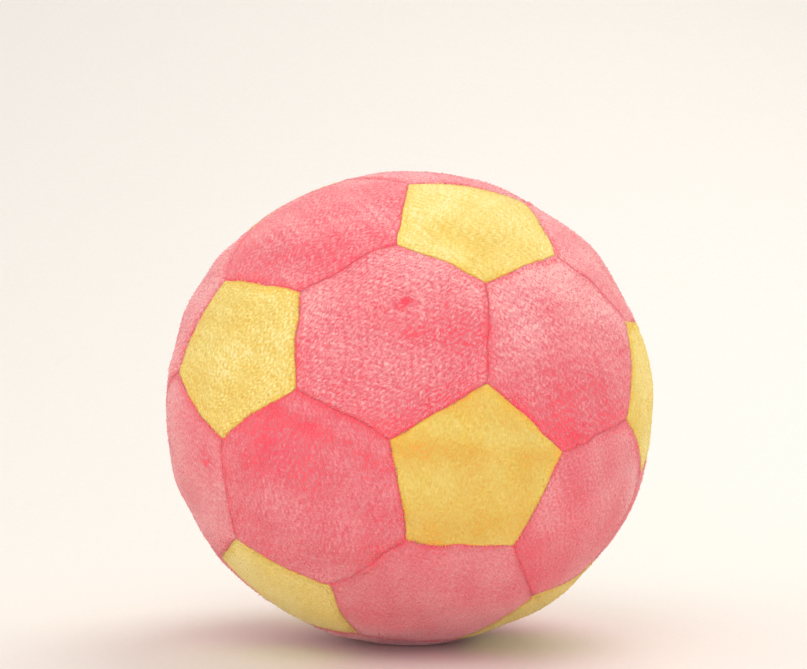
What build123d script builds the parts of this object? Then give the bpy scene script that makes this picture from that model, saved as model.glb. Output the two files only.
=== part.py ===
from build123d import *

import os
from math import cos, radians, sin, sqrt

# A stuffed plush football. Twelve five-sided and twenty six-sided panels of short-pile plush are sewn
# together along ninety seams, with their edges turned in, and filled with polyester fibre.
# Millimetres, +Z up, -Y towards the viewer. The origin is under the middle, on the surface it rests on.

os.makedirs("parts", exist_ok=True)

# ---- driving dimensions ----
WIDTH = 200.0  # across the tips of the pile, level with the middle
HEIGHT_SHARE = 0.972  # the ball sags a little under its own weight
FOOT_DEPTH = 1.6  # how far the underside is pressed flat
SEAM_SHARE = 0.985  # the seams lie this much nearer the middle than the crowns of the panels
PENTAGON_CROWN_SHARE = 0.996  # a small panel crowns a little less than a large one

FABRIC = 4.0  # knitted backing with its pile
SEAM_GAP = 0.2  # between the turned-in edges of two neighbours
ALLOWANCE = 1.2  # thickness of a turned-in edge
ALLOWANCE_DEPTH = 6.0  # how far a turned-in edge reaches below the fabric
NOTCH_RADIUS = 2.2  # the turned-in edges are notched at each corner, so they lie flat
NOTCH_COVER = 0.6  # fabric left over a notch, inside the panel

THREAD_RADIUS = 0.32  # the threads that run along each side of a seam
CROSSING_WIDTH = 0.42  # the thread where it is squeezed through both turned-in edges
TIE_RADIUS = 0.2  # the thread between the last stitch and the corner
STITCH_LENGTH = 3.4
STITCH_DEPTH = 5.2  # the stitches lie this far below the pile at the seam
STITCH_CLEARANCE = 0.1  # between the thread and the turned-in edge beside it
END_INSET = 3.2  # from a corner to the first stitch
CORNER_BEAD_RADIUS = 0.6  # the thread where it turns at a corner
TIE_START = 0.4  # a tie leaves the bead this far from its middle
KNOT_RADIUS = 1.5  # the knot that ends the hand-sewn seam

STUFFING_CLEARANCE = 0.25

# ---- how the pattern of panels is turned ----
SPIN = 12.3
TILT = 103.8
HEADING = 14.7

# Corners that the sewing and the stuffing draw out of true, as (east, north) along the surface. A corner is
# named by its pentagon and by the pentagon at the far end of the seam that leaves it.
CORNER_PULLS = {
    (2, 3): (4.0, 0.0),
    (3, 4): (2.0, -4.0),
    (3, 7): (7.0, -4.0),
    (4, 3): (2.0, -3.0),
    (4, 8): (-3.0, 0.0),
    (4, 9): (-6.0, 0.0),
    (5, 4): (-4.0, -3.0),
}
CLOSING_SEAM = (10, 12)  # on the far side, low down

# ---- derived dimensions ----
RADIUS = WIDTH / 2
CENTRE_HEIGHT = RADIUS * HEIGHT_SHARE - FOOT_DEPTH
THREAD_OFFSET = SEAM_GAP / 2 + ALLOWANCE + STITCH_CLEARANCE + THREAD_RADIUS
STUFFING_INSET = THREAD_OFFSET + THREAD_RADIUS + STUFFING_CLEARANCE
WEDGE_LOW = RADIUS * 0.6  # the wedge that cuts a panel out starts here, well inside the turned-in edges
WEDGE_HIGH = RADIUS * 1.1
CENTRE = Vector(0, 0, 0)
LIFT = Location((0, 0, CENTRE_HEIGHT))
PENTAGON_NEIGHBOUR_COS = 0.4  # two pentagons are neighbours if their directions agree by more than this
RING_RADIUS = 2 / sqrt(5)  # each ring of five pentagons lies this far from the axis through the other two
RING_HEIGHT = 1 / sqrt(5)
RING_STEP = 72  # degrees between two pentagons of a ring
NEAR_UPRIGHT = 0.8  # a direction whose rise is more than this is too near the vertical to be squared to it


def on_cover(direction, share):
    """The point of the sagged ball in this direction, at this share of its full size."""
    unit = direction.normalized()
    return Vector(unit.X, unit.Y, unit.Z * HEIGHT_SHARE) * (RADIUS * share)


def pentagon_directions():
    """Twelve directions, evenly spread: two poles and two rings of five, then turned into place."""
    found = [Vector(0, 0, 1)]
    for side in (1, -1):
        for step in range(5):
            angle = radians(RING_STEP * (step if side > 0 else step + 0.5))
            x = RING_RADIUS * cos(angle)
            y = RING_RADIUS * sin(angle)
            found.append(Vector(x, y, side * RING_HEIGHT))
    found.append(Vector(0, 0, -1))
    return [d.rotate(Axis.Z, SPIN).rotate(Axis.X, TILT).rotate(Axis.Z, HEADING) for d in found]


def pulled(corner, east, north):
    """The corner moved along the surface by so many millimetres east and north."""
    east_way = Vector(0, 0, 1).cross(corner).normalized()
    north_way = corner.cross(east_way).normalized()
    moved = corner + east_way * east + north_way * north
    return on_cover(Vector(moved.X, moved.Y, moved.Z / HEIGHT_SHARE), SEAM_SHARE)


def around(middle, points):
    """The points in order round a direction."""
    frame = Plane(origin=CENTRE, z_dir=middle)

    def bearing(point):
        flat = frame.to_local_coords(point)
        return Vector(1, 0, 0).get_signed_angle(Vector(flat.X, flat.Y, 0), Vector(0, 0, 1))

    return sorted(points, key=bearing)


def mean(points):
    """The middle of some points."""
    return sum(points, Vector(0, 0, 0)) * (1 / len(points))


class Panel:
    """One panel's shape: its corners, the way it faces, and the ball that its crown is part of."""

    def __init__(self, corners, crown_share):
        self.axis = mean(corners).normalized()
        self.corners = around(self.axis, corners)
        unsagged = Vector(self.axis.X, self.axis.Y, self.axis.Z / HEIGHT_SHARE)
        crown = on_cover(unsagged, crown_share).dot(self.axis)
        corner_height = mean(corners).length
        reach = sum((c - self.axis * c.dot(self.axis)).length for c in self.corners) / len(self.corners)
        rise = crown - corner_height
        self.crown_radius = (reach**2 + rise**2) / (2 * rise)
        self.crown_centre = self.axis * (crown - self.crown_radius)
        self.corner_radius = sum(c.length for c in self.corners) / len(self.corners)
        self.allowance_end = self.corner_radius - FABRIC - ALLOWANCE_DEPTH

    def section(self, height, inset):
        """The panel's outline at this height along its axis, with every side moved in by inset."""
        count = len(self.corners)
        sides = [self.corners[k].cross(self.corners[(k + 1) % count]).normalized() for k in range(count)]
        outline = []
        for k in range(count):
            one = sides[k - 1]
            two = sides[k]
            meeting = (two.cross(self.axis) + self.axis.cross(one)) * inset + one.cross(two) * height
            outline.append(meeting * (1 / one.dot(two.cross(self.axis))))
        return outline


def wedge(panel, inset):
    """The tapering block that holds everything inside one panel's sides."""
    with BuildPart() as block:
        for height in (WEDGE_LOW, WEDGE_HIGH):
            level = Plane(origin=panel.axis * height, z_dir=panel.axis)
            with BuildSketch(level):
                flat = [level.to_local_coords(point) for point in panel.section(height, inset)]
                Polygon(*[(p.X, p.Y) for p in flat], align=None)
        loft(ruled=True)
    return block.part


def crowned_wedge(panel, inset, lowered):
    """A panel's wedge, ended by its crown, or by the same crown lowered."""
    facing = Plane(origin=panel.crown_centre, x_dir=-panel.axis, z_dir=square_to(panel.axis))
    uncrowned = wedge(panel, inset)
    with BuildPart() as block:
        add(uncrowned)
        with Locations(facing.location):
            Sphere(panel.crown_radius - lowered, mode=Mode.INTERSECT)
    return block.part


def square_to(direction):
    """Any direction square to this one."""
    away = Vector(0, 0, 1) if abs(direction.Z) < NEAR_UPRIGHT else Vector(1, 0, 0)
    return direction.cross(away).normalized()


def panel_shell(panel):
    """One panel of fabric, crowned, with its edges turned in and notched at the corners."""
    facing = Plane(origin=CENTRE, x_dir=-panel.axis, z_dir=square_to(panel.axis))
    notch_low = panel.allowance_end - NOTCH_RADIUS
    outside = crowned_wedge(panel, SEAM_GAP / 2, 0)
    inside = crowned_wedge(panel, SEAM_GAP / 2 + ALLOWANCE, FABRIC)
    with BuildPart() as shell:
        add(outside)
        add(inside, mode=Mode.SUBTRACT)
        with Locations(facing.location):
            Sphere(panel.allowance_end, mode=Mode.SUBTRACT)
        for corner in panel.corners:
            way = corner.normalized()
            notch_high = corner.length - FABRIC - NOTCH_COVER
            middle = way * ((notch_low + notch_high) / 2)
            with Locations(Plane(origin=middle, z_dir=way).location):
                Cylinder(NOTCH_RADIUS, notch_high - notch_low, mode=Mode.SUBTRACT)
    return shell.part


def thread_between(first, last, radius, side):
    """A straight piece of thread from one point to another, with nothing joined to it on this side."""
    with BuildPart() as piece:
        with Locations(Plane(origin=(first + last) * 0.5, x_dir=side, z_dir=last - first).location):
            Cylinder(radius, (last - first).length)
    return piece.part


def crossing(point, way, square):
    """The thread where it goes through both turned-in edges."""
    with BuildPart() as piece:
        with Locations(Plane(origin=point, x_dir=way, z_dir=square).location):
            Box(CROSSING_WIDTH, CROSSING_WIDTH, 2 * THREAD_OFFSET)
    return piece.part


def corner_bead(corner):
    """Where the thread turns, under a corner."""
    return corner.normalized() * (corner.length - STITCH_DEPTH)


def bead_place(corner, beside):
    """A bead's place under its corner, turned so that the tie towards the corner beside it is at its back."""
    return Plane(origin=corner_bead(corner), x_dir=corner - beside, z_dir=corner).location


def stitch_points(start, end):
    """Where the thread crosses a seam, the way the seam runs, and the way square to it."""
    low_start = corner_bead(start)
    low_end = corner_bead(end)
    way = (low_end - low_start).normalized()
    square = start.cross(end).normalized()
    length = (low_end - low_start).length - 2 * END_INSET
    count = round(length / STITCH_LENGTH)
    points = [low_start + way * (END_INSET + length * k / count) for k in range(count + 1)]
    return points, way, square


def machine_seam(start, end, tied):
    """Lockstitch: a thread along each side of the seam, crossing at every stitch, tied on at these corners."""
    points, way, square = stitch_points(start, end)
    over_end = way * THREAD_RADIUS
    pieces = [crossing(point, way, square) for point in points]
    for side in (1, -1):
        aside = square * (side * THREAD_OFFSET)
        first = points[0] + aside - over_end
        last = points[-1] + aside + over_end
        pieces.append(thread_between(first, last, THREAD_RADIUS, aside))
    for corner, point in ((start, points[0]), (end, points[-1])):
        if corner in tied:
            bead = corner_bead(corner)
            tie_start = bead + (point - bead).normalized() * TIE_START
            pieces.append(thread_between(tie_start, point, TIE_RADIUS, square))
    return pieces


def hand_seam(start, end):
    """Ladder stitch: one thread that crosses, runs along one side, crosses back, and so on."""
    points, way, square = stitch_points(start, end)
    over_end = way * THREAD_RADIUS
    pieces = [crossing(point, way, square) for point in points]
    for k, (first, last) in enumerate(zip(points, points[1:])):
        aside = square * (THREAD_OFFSET if k % 2 else -THREAD_OFFSET)
        pieces.append(thread_between(first + aside - over_end, last + aside + over_end, THREAD_RADIUS, aside))
    return pieces


# ---- the pattern ----
directions = pentagon_directions()
numbers = range(1, len(directions) + 1)
neighbours = {
    one: [
        two
        for two in numbers
        if two != one and directions[one - 1].dot(directions[two - 1]) > PENTAGON_NEIGHBOUR_COS
    ]
    for one in numbers
}
corners = {
    (one, two): on_cover(directions[one - 1] * 2 + directions[two - 1], SEAM_SHARE)
    for one in numbers
    for two in neighbours[one]
}
for name, (east, north) in CORNER_PULLS.items():
    corners[name] = pulled(corners[name], east, north)

pentagons = [Panel([corners[one, two] for two in neighbours[one]], PENTAGON_CROWN_SHARE) for one in numbers]
triples = [
    (one, two, three)
    for one in numbers
    for two in neighbours[one]
    for three in neighbours[two]
    if one < two < three and three in neighbours[one]
]
hexagons = [
    Panel([corners[a, b] for a in triple for b in triple if a != b], 1.0)
    for triple in triples
]

# ---- the cover: thirty-two panels ----
named_panels = [(f"pentagon_panel_{k:02d}", panel) for k, panel in enumerate(pentagons, 1)]
named_panels += [(f"hexagon_panel_{k:02d}", panel) for k, panel in enumerate(hexagons, 1)]
for node, panel in named_panels:
    shell = panel_shell(panel)
    with BuildPart() as cover_panel:
        with Locations(LIFT):
            add(shell)
        if cover_panel.part.bounding_box().min.Z < 0:
            split(bisect_by=Plane.XY, keep=Keep.TOP)
    cover_panel.part.label = node
    export_step(cover_panel.part, f"parts/{node}.step")

# ---- the machine stitching: round each pentagon, and out along some of the seams that leave it ----
for one in numbers:
    own = [corners[one, two] for two in neighbours[one]]
    ring = pentagons[one - 1].corners
    seams = [(ring[k - 1], ring[k]) for k in range(len(ring))]
    for two in neighbours[one]:
        keeps_it = (one < two) == ((one + two) % 2 == 1)
        if keeps_it and CLOSING_SEAM not in ((one, two), (two, one)):
            seams.append((corners[one, two], corners[two, one]))
    stitches = [piece for start, end in seams for piece in machine_seam(start, end, own)]
    with BuildPart() as seam_thread:
        with Locations(LIFT):
            add(stitches)
        with Locations(*[LIFT * bead_place(ring[k], ring[k - 1]) for k in range(len(ring))]):
            Sphere(CORNER_BEAD_RADIUS)
    seam_thread.part.label = f"seam_thread_{one:02d}"
    export_step(seam_thread.part, f"parts/seam_thread_{one:02d}.step")

# ---- the hand-sewn seam through which the ball was stuffed ----
closing_ends = (corners[CLOSING_SEAM], corners[CLOSING_SEAM[::-1]])
closing_points, _, closing_square = stitch_points(*closing_ends)
knot_point = closing_points[-1] + closing_square * (THREAD_OFFSET + KNOT_RADIUS - THREAD_RADIUS)
ladder = hand_seam(*closing_ends)
with BuildPart() as closing_stitch:
    with Locations(LIFT):
        add(ladder)
    with Locations(LIFT * Location(knot_point)):
        Sphere(KNOT_RADIUS)
closing_stitch.part.label = "closing_stitch"
export_step(closing_stitch.part, "parts/closing_stitch.step")

# ---- the stuffing: it fills the cover, and bulges up between the turned-in edges ----
core_radius = min(panel.allowance_end for panel in pentagons + hexagons) - STUFFING_CLEARANCE
bulges = [crowned_wedge(panel, STUFFING_INSET, FABRIC + STUFFING_CLEARANCE) for panel in pentagons + hexagons]
with BuildPart() as fibrefill_core:
    with Locations(LIFT):
        Sphere(core_radius)
        add(bulges)
    with Locations(LIFT * Location(knot_point)):
        Sphere(KNOT_RADIUS + STUFFING_CLEARANCE, mode=Mode.SUBTRACT)
fibrefill_core.part.label = "fibrefill_core"
export_step(fibrefill_core.part, "parts/fibrefill_core.step")
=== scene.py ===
import math

import bmesh
import bpy
import numpy as np
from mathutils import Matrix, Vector
from mathutils.bvhtree import BVHTree


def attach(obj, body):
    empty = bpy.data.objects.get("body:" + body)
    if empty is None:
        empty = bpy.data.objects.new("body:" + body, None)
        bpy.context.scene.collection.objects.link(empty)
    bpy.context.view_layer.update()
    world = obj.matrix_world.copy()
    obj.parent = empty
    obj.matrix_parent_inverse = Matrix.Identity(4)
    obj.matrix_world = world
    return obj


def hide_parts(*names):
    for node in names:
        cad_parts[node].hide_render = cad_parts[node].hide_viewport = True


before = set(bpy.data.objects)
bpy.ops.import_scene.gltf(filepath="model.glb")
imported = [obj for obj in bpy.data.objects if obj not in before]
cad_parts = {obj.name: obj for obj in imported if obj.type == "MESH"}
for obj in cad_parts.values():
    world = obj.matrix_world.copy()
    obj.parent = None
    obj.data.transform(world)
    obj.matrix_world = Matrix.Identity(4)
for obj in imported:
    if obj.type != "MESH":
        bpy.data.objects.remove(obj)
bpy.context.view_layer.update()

# A stuffed plush football: thirty-two panels of short-pile plush, sewn together and filled with fibre.
# The pattern is worked out in millimetres about the middle of the ball, and meshes are made in metres.

MM = 0.001

# ---- the ball, as in the CAD, in millimetres and degrees ----
WIDTH = 200.0
HEIGHT_SHARE = 0.972  # the ball sags to this share of its width
FOOT_DEPTH = 1.6  # and is pressed flat by this much where it rests
SEAM_SHARE = 0.985  # seams are drawn in to this share of the full radius
PENTAGON_CROWN_SHARE = 0.996
FABRIC = 4.0
ALLOWANCE = 1.2
ALLOWANCE_DEPTH = 6.0
NOTCH_RADIUS = 2.2
STITCH_DEPTH = 5.2
END_INSET = 3.2
THREAD_OFFSET = 1.72
THREAD_RADIUS = 0.32
KNOT_RADIUS = 1.5
STUFFING_INSET = 2.29
STUFFING_CLEARANCE = 0.25
SPIN = 12.3
TILT = 103.8
HEADING = 14.7
# Corners, as (pentagon, the pentagon it points to), and how far east and north each is pulled
CORNER_PULLS = {
    (2, 3): (4.0, 0.0),
    (3, 4): (2.0, -4.0),
    (3, 7): (7.0, -4.0),
    (4, 3): (2.0, -3.0),
    (4, 8): (-3.0, 0.0),
    (4, 9): (-6.0, 0.0),
    (5, 4): (-4.0, -3.0),
}
CLOSING_SEAM = (10, 12)  # between two hexagons at the back, from pentagon 10 to pentagon 12
PENTAGON_NEIGHBOUR_COS = 0.4  # pentagons that face more nearly the same way than this are neighbours
RADIUS = WIDTH / 2
CENTRE_HEIGHT = RADIUS * HEIGHT_SHARE - FOOT_DEPTH
CENTRE = np.array([0.0, 0.0, CENTRE_HEIGHT])

# ---- the plush, in millimetres ----
SEAM_GAP = 0.04  # between neighbouring panels, whose pile closes over the CAD's wider gap
PILE_HEIGHT = 2.2  # from the knitted backing to the tips of the leaning pile
SEAM_ROLL_WIDTH = 2.8  # the backing rolls down into a seam over this width
SEAM_ROLL_DEPTH = 1.9
BACKING = 1.7  # how thick the backing is
FOOT_PRESS = 0.7  # the pile under the ball is pressed into this height
SEED = 7


def unit(v):
    """Vectors made one long."""
    return v / np.linalg.norm(v, axis=-1, keepdims=True)


def turned(points, axis, degrees):
    """Points turned about a main axis, through the middle."""
    c = math.cos(math.radians(degrees))
    s = math.sin(math.radians(degrees))
    i = (axis + 1) % 3
    j = (axis + 2) % 3
    out = points.copy()
    out[..., i] = c * points[..., i] - s * points[..., j]
    out[..., j] = s * points[..., i] + c * points[..., j]
    return out


def on_cover(directions, share):
    """The sagged ball's surface in these directions, at this share of its full size."""
    return unit(np.asarray(directions, float)) * (1, 1, HEIGHT_SHARE) * RADIUS * np.asarray(share)[..., None]


def pentagon_directions():
    """Twelve directions, evenly spread: two poles and two rings of five, then turned into place."""
    found = [(0, 0, 1)]
    for side in (1, -1):
        for step in range(5):
            angle = math.radians(72 * (step if side > 0 else step + 0.5))
            found.append((2 * math.cos(angle) / 5**0.5, 2 * math.sin(angle) / 5**0.5, side / 5**0.5))
    found.append((0, 0, -1))
    return turned(turned(turned(np.array(found, float), 2, SPIN), 0, TILT), 2, HEADING)


def pulled(corner, east, north):
    """A corner moved along the surface, so many millimetres east and north."""
    east_way = unit(np.cross((0, 0, 1), corner))
    north_way = unit(np.cross(corner, east_way))
    moved = corner + east_way * east + north_way * north
    return on_cover(moved * (1, 1, 1 / HEIGHT_SHARE), SEAM_SHARE)


def square_pair(axis):
    """Two directions square to an axis and to each other."""
    one = unit(np.cross(axis, (0, 0, 1) if abs(axis[2]) < 0.8 else (1, 0, 0)))
    return one, np.cross(axis, one)


class Waves:
    """Smooth seeded unevenness, of about one wavelength: a sum of plane waves."""

    def __init__(self, seed, wavelength, count=28):
        random = np.random.default_rng(seed)
        ways = unit(random.normal(size=(count, 3)))
        self.ways = ways * (2 * math.pi / (wavelength * random.uniform(0.65, 1.6, (count, 1))))
        self.phase = random.uniform(0, 2 * math.pi, count)

    def __call__(self, points):
        """The unevenness at each point, mostly from -2 to 2."""
        return np.sin(points @ self.ways.T + self.phase).sum(axis=1) * (2 / len(self.phase)) ** 0.5


stuffing_lumps = Waves(SEED + 3, 34.0)
seam_unevenness = Waves(SEED + 4, 9.0)


class Panel:
    """One panel: its corners in order, the way it faces, and the planes of its seams."""

    def __init__(self, name, corners, crown_share, slot):
        self.name = name
        self.slot = slot
        self.crown_share = crown_share
        corners = np.array(corners)
        self.axis = unit(corners.mean(axis=0))
        one, two = square_pair(self.axis)
        order = np.argsort(np.arctan2(corners @ two, corners @ one))
        self.corners = corners[order]
        self.sides = unit(np.cross(self.corners, np.roll(self.corners, -1, axis=0)))
        self.allowance_end = np.linalg.norm(corners, axis=1).mean() - FABRIC - ALLOWANCE_DEPTH

    def seam_distances(self, points):
        """How far points are from each seam, in millimetres."""
        return points @ self.sides.T

    def inset(self, distance):
        """The directions of the panel's corners, with every side moved in by this much."""
        found = []
        for k in range(len(self.corners)):
            one = self.sides[k - 1]
            two = self.sides[k]
            height = self.axis @ self.corners[k]
            meeting = np.cross(two, self.axis) * distance + np.cross(self.axis, one) * distance
            meeting = meeting + np.cross(one, two) * height
            found.append(meeting / (one @ np.cross(two, self.axis)))
        return np.array(found)


# ---- the pattern ----
directions = pentagon_directions()
numbers = range(1, 13)
neighbours = {
    a: [b for b in numbers if b != a and directions[a - 1] @ directions[b - 1] > PENTAGON_NEIGHBOUR_COS]
    for a in numbers
}
corners = {
    (a, b): on_cover(directions[a - 1] * 2 + directions[b - 1], SEAM_SHARE)
    for a in numbers
    for b in neighbours[a]
}
for pair, (east, north) in CORNER_PULLS.items():
    corners[pair] = pulled(corners[pair], east, north)
panels = [
    Panel(
        f"pentagon_panel_{a:02d}",
        [corners[a, b] for b in neighbours[a]],
        PENTAGON_CROWN_SHARE,
        "yellow_plush",
    )
    for a in numbers
]
triples = [
    (a, b, c)
    for a in numbers
    for b in neighbours[a]
    for c in neighbours[b]
    if a < b < c and c in neighbours[a]
]
panels += [
    Panel(f"hexagon_panel_{k:02d}", [corners[a, b] for a in t for b in t if a != b], 1.0, "pink_plush")
    for k, t in enumerate(triples, 1)
]


# ---- the cover's backing, blown up by the stuffing ----
LATTICE_ROWS = 10
CROWN_AT_START = 0.35  # the share of its crown that a panel has before it is blown up
BLOWN_FRAMES = 20
BLOWN_CAP = 4.0
PRESSURE = 4.0


def lattice():
    """The whole cover as one sewn mesh: its points, its triangles, and which points lie on seams."""
    points = []
    on_seam = []
    triangles = []
    for panel in panels:
        count = len(panel.corners)
        for k in range(count):
            a = panel.corners[k]
            b = panel.corners[(k + 1) % count]
            middle = panel.corners.mean(axis=0)
            index = {}
            for i in range(LATTICE_ROWS + 1):
                for j in range(i + 1):
                    share = j / i if i else 0
                    out = i / LATTICE_ROWS
                    flat = middle * (1 - out) + (a * (1 - share) + b * share) * out
                    rise = (panel.crown_share - SEAM_SHARE) * CROWN_AT_START * (1 - out**2)
                    full = SEAM_SHARE + rise - PILE_HEIGHT / RADIUS
                    index[i, j] = len(points)
                    points.append(on_cover(flat * (1, 1, 1 / HEIGHT_SHARE), full))
                    on_seam.append(i == LATTICE_ROWS)
            for i in range(1, LATTICE_ROWS + 1):
                for j in range(i):
                    triangles.append((index[i - 1, j], index[i, j], index[i, j + 1]))
                    if j < i - 1:
                        triangles.append((index[i - 1, j], index[i, j + 1], index[i - 1, j + 1]))
    points = np.array(points)
    keys, first, back = np.unique(np.round(points, 3), axis=0, return_index=True, return_inverse=True)
    back = back.reshape(-1)
    seam = np.zeros(len(keys), bool)
    np.logical_or.at(seam, back, np.array(on_seam))
    return points[first], back[np.array(triangles)], seam


def placed(name, data):
    """A new object in the scene that holds this mesh, light or camera."""
    piece = bpy.data.objects.new(name, data)
    bpy.context.scene.collection.objects.link(piece)
    return piece


def plain_mesh(name, points, faces):
    """A mesh object in metres, from points in millimetres and their faces."""
    mesh = bpy.data.meshes.new(name)
    mesh.from_pydata((points * MM).tolist(), [], faces.tolist())
    return placed(name, mesh)


def points_of(piece):
    """A mesh object's points as they stand after its modifiers, in millimetres, and its polygons."""
    seen = piece.evaluated_get(bpy.context.evaluated_depsgraph_get())
    mesh = seen.to_mesh()
    found = np.zeros(len(mesh.vertices) * 3)
    mesh.vertices.foreach_get("co", found)
    polygons = [tuple(p.vertices) for p in mesh.polygons]
    seen.to_mesh_clear()
    return found.reshape(-1, 3) / MM, polygons


def blown(piece, seam):
    """The cover after the stuffing has pressed it out between its seams, which hold still."""
    start, _ = points_of(piece)
    group = piece.vertex_groups.new(name="seams")
    group.add([int(i) for i in np.flatnonzero(seam)], 1.0, "REPLACE")
    cloth = piece.modifiers.new("cloth", "CLOTH")
    cloth.settings.quality = 6
    cloth.settings.mass = 0.15
    cloth.settings.tension_stiffness = 12
    cloth.settings.compression_stiffness = 12
    cloth.settings.shear_stiffness = 5
    cloth.settings.bending_stiffness = 0.4
    cloth.settings.vertex_group_mass = "seams"
    cloth.settings.use_pressure = True
    cloth.settings.uniform_pressure_force = PRESSURE
    cloth.settings.effector_weights.gravity = 0.0
    cloth.collision_settings.use_self_collision = False
    scene = bpy.context.scene
    cloth.point_cache.frame_start = 1
    cloth.point_cache.frame_end = BLOWN_FRAMES
    for step in range(1, BLOWN_FRAMES + 1):
        scene.frame_set(step)
    moved, _ = points_of(piece)
    piece.modifiers.remove(cloth)
    scene.frame_set(1)
    shift = moved - start
    length = np.linalg.norm(shift, axis=1, keepdims=True)
    return start + shift * np.minimum(1, BLOWN_CAP / np.maximum(length, 1e-9))


cover_points, cover_triangles, seam_points = lattice()
cover = plain_mesh("cover_form", cover_points, cover_triangles)
cover_points = blown(cover, seam_points)
cover.data.vertices.foreach_set("co", (cover_points * MM).astype(np.float32).ravel())
cover.data.update()
smoothing = cover.modifiers.new("smoothing", "SUBSURF")
smoothing.levels = 1
cover_points, cover_polygons = points_of(cover)
surface = BVHTree.FromPolygons([tuple(p) for p in cover_points], cover_polygons)
bpy.data.objects.remove(cover)
ORIGIN = Vector((0, 0, 0))


def backing_radius(ways):
    """How far the blown cover is from the middle in each of these directions."""
    found = np.empty(len(ways))
    for k, way in enumerate(ways.tolist()):
        hit = surface.ray_cast(ORIGIN, way)
        if hit[0] is None:
            hit = surface.find_nearest(Vector(way) * RADIUS)
        found[k] = hit[0].length
    return found


def roll_drop(distance):
    """How far the backing has rolled down at this distance from a seam."""
    inward = np.clip(1 - distance / SEAM_ROLL_WIDTH, 0, 1)
    return SEAM_ROLL_DEPTH * (1 - np.sqrt(1 - inward**2))


PILE_DIP_WIDTH = 1.3  # the pile dips into a seam less than the backing under it
PILE_DIP = {"yellow_plush": 0.12, "pink_plush": 0.3}
PILE_DIP_UNEVENNESS = 0.3


def pile_dip(panel, ways, distance):
    """How far the pile's surface dips at this distance from a seam: more in some places than in others."""
    inward = np.clip(1 - distance / PILE_DIP_WIDTH, 0, 1)
    depth = PILE_DIP[panel.slot] * (1 + PILE_DIP_UNEVENNESS * np.tanh(seam_unevenness(ways * RADIUS)))
    return depth * inward**2


UNEVEN_LENGTHS = (8.0, 23.0)  # hand-fed seams wander a little, over these lengths
UNEVEN_REACH = (0.14, 0.42)
UNEVEN_ABOVE = 94.5  # the fabric deeper than this, where it is stitched, keeps its place
UNEVEN_FADE = 2.5
UNEVEN_WAVES = 12
wanderings = [
    [Waves(SEED + 20 + 3 * k + axis, length, UNEVEN_WAVES) for axis in range(3)]
    for k, length in enumerate(UNEVEN_LENGTHS)
]


def uneven(points):
    """Points near the surface moved a little sideways, so that no seam runs quite straight."""
    height = np.linalg.norm(points, axis=1)
    share = np.clip((height - UNEVEN_ABOVE) / UNEVEN_FADE, 0, 1)
    ways = points / height[:, None]
    moved = np.zeros_like(points)
    for reach, waves in zip(UNEVEN_REACH, wanderings):
        moved += reach * np.stack([wave(ways * RADIUS) for wave in waves], axis=1)
    moved -= ways * (moved * ways).sum(axis=1, keepdims=True)
    return points + moved * share[:, None]


def pressed(points):
    """Points of the ball where it rests: those low down are pressed together above the ground."""
    height = points[:, 2] + CENTRE_HEIGHT
    squeezed = FOOT_PRESS * np.exp(np.minimum(height - FOOT_PRESS, 0) / FOOT_PRESS)
    resting = points.copy()
    resting[:, 2] = np.where(height < FOOT_PRESS, squeezed, height) - CENTRE_HEIGHT
    return resting


class Parts:
    """Points with their pile marks, and faces with their lookup coordinates, gathered into one mesh."""

    def __init__(self):
        self.points = []
        self.marks = []
        self.loops = []
        self.sizes = []
        self.uvs = []
        self.count = 0

    def add_points(self, points, marks=None):
        """Points, each with how pale its pile is. Returns the number that the first of them gets."""
        first = self.count
        self.points.append(points)
        self.marks.append(np.zeros(len(points)) if marks is None else marks)
        self.count += len(points)
        return first

    def add_faces(self, faces, uvs):
        """Faces of one size, with a lookup coordinate for each of their corners."""
        self.loops.append(faces.ravel())
        self.sizes.append(np.full(len(faces), faces.shape[1]))
        self.uvs.append(uvs.reshape(-1, 2))

    def piece(self, name, material):
        """The mesh object, in metres, lifted to where the ball rests."""
        points = (pressed(uneven(np.concatenate(self.points))) + CENTRE) * MM
        loops = np.concatenate(self.loops)
        sizes = np.concatenate(self.sizes)
        uvs = np.concatenate(self.uvs)
        mesh = bpy.data.meshes.new(name)
        mesh.vertices.add(len(points))
        mesh.vertices.foreach_set("co", points.astype(np.float32).ravel())
        mesh.loops.add(len(loops))
        mesh.loops.foreach_set("vertex_index", loops.astype(np.int32))
        mesh.polygons.add(len(sizes))
        mesh.polygons.foreach_set("loop_start", (np.cumsum(sizes) - sizes).astype(np.int32))
        mesh.update(calc_edges=True)
        layer = mesh.uv_layers.new(name="OFBake")
        layer.uv.foreach_set("vector", uvs.astype(np.float32).ravel())
        pile = mesh.attributes.new("pile", "FLOAT", "POINT")
        pile.data.foreach_set("value", np.concatenate(self.marks).astype(np.float32))
        mesh.shade_smooth()
        mesh.validate()
        mesh.materials.append(material)
        return placed(name, mesh)


# ---- the lookup square: where each piece of a panel is in the texture coordinates ----
LOOKUP_SPAN = 108.0  # millimetres of fabric across the square
LOOKUP_MIDDLE = (0.5, 0.47)
FIBRES_ABOVE = 0.92  # the standing fibres have a band at the top of the square
FIBRE_BAND_LOW = 0.935
FIBRE_BAND_WIDTH = 0.055
REVERSE_BELOW = 0.2  # the fabric's reverse has the lowest corner of the square
REVERSE_SPOT = 0.03
REVERSE_SPREAD = 0.02
REVERSE_WAVES = np.array([[1.9, 0.4], [0.3, 2.1], [1.1, 0.7]])

# ---- materials ----
BLEED = 0.0022  # metres that light travels through the pile


def linear(red, green, blue):
    """A display colour, from 0 to 255, as the shader wants it."""
    shares = [c / 255 for c in (red, green, blue)]
    return tuple(((c + 0.055) / 1.055) ** 2.4 if c > 0.04 else c / 12.92 for c in shares) + (1.0,)


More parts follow.
